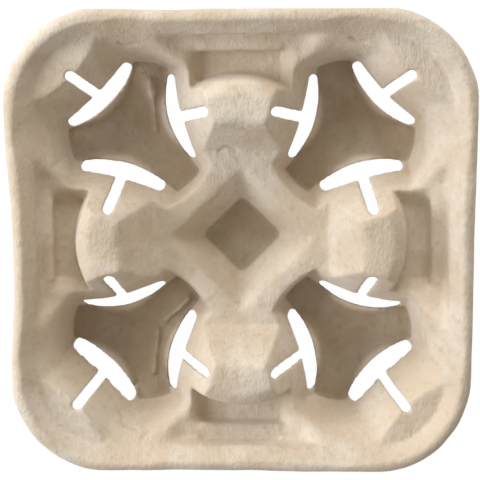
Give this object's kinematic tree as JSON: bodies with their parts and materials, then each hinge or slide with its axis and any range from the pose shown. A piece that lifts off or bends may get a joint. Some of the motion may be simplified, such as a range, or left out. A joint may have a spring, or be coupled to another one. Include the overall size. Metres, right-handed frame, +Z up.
{
  "type": "moulded-fibre cup carrier",
  "caption": "Square moulded-fibre tray that holds cups upright in lobed wells with slotted gripping tabs, with a rolled rim and finger recesses for carrying.",
  "frame": {"origin": "centre of the tray on the plane that it stands on", "axes": "+X and +Y along two sides of the square tray, +Z up out of the cup wells"},
  "size_m": [0.216, 0.216, 0.045],
  "materials": {
    "moulded_fibre": "matte"
  },
  "bodies": {
    "root": {"cup_carrier": "moulded_fibre"}
  },
  "joints": []
}
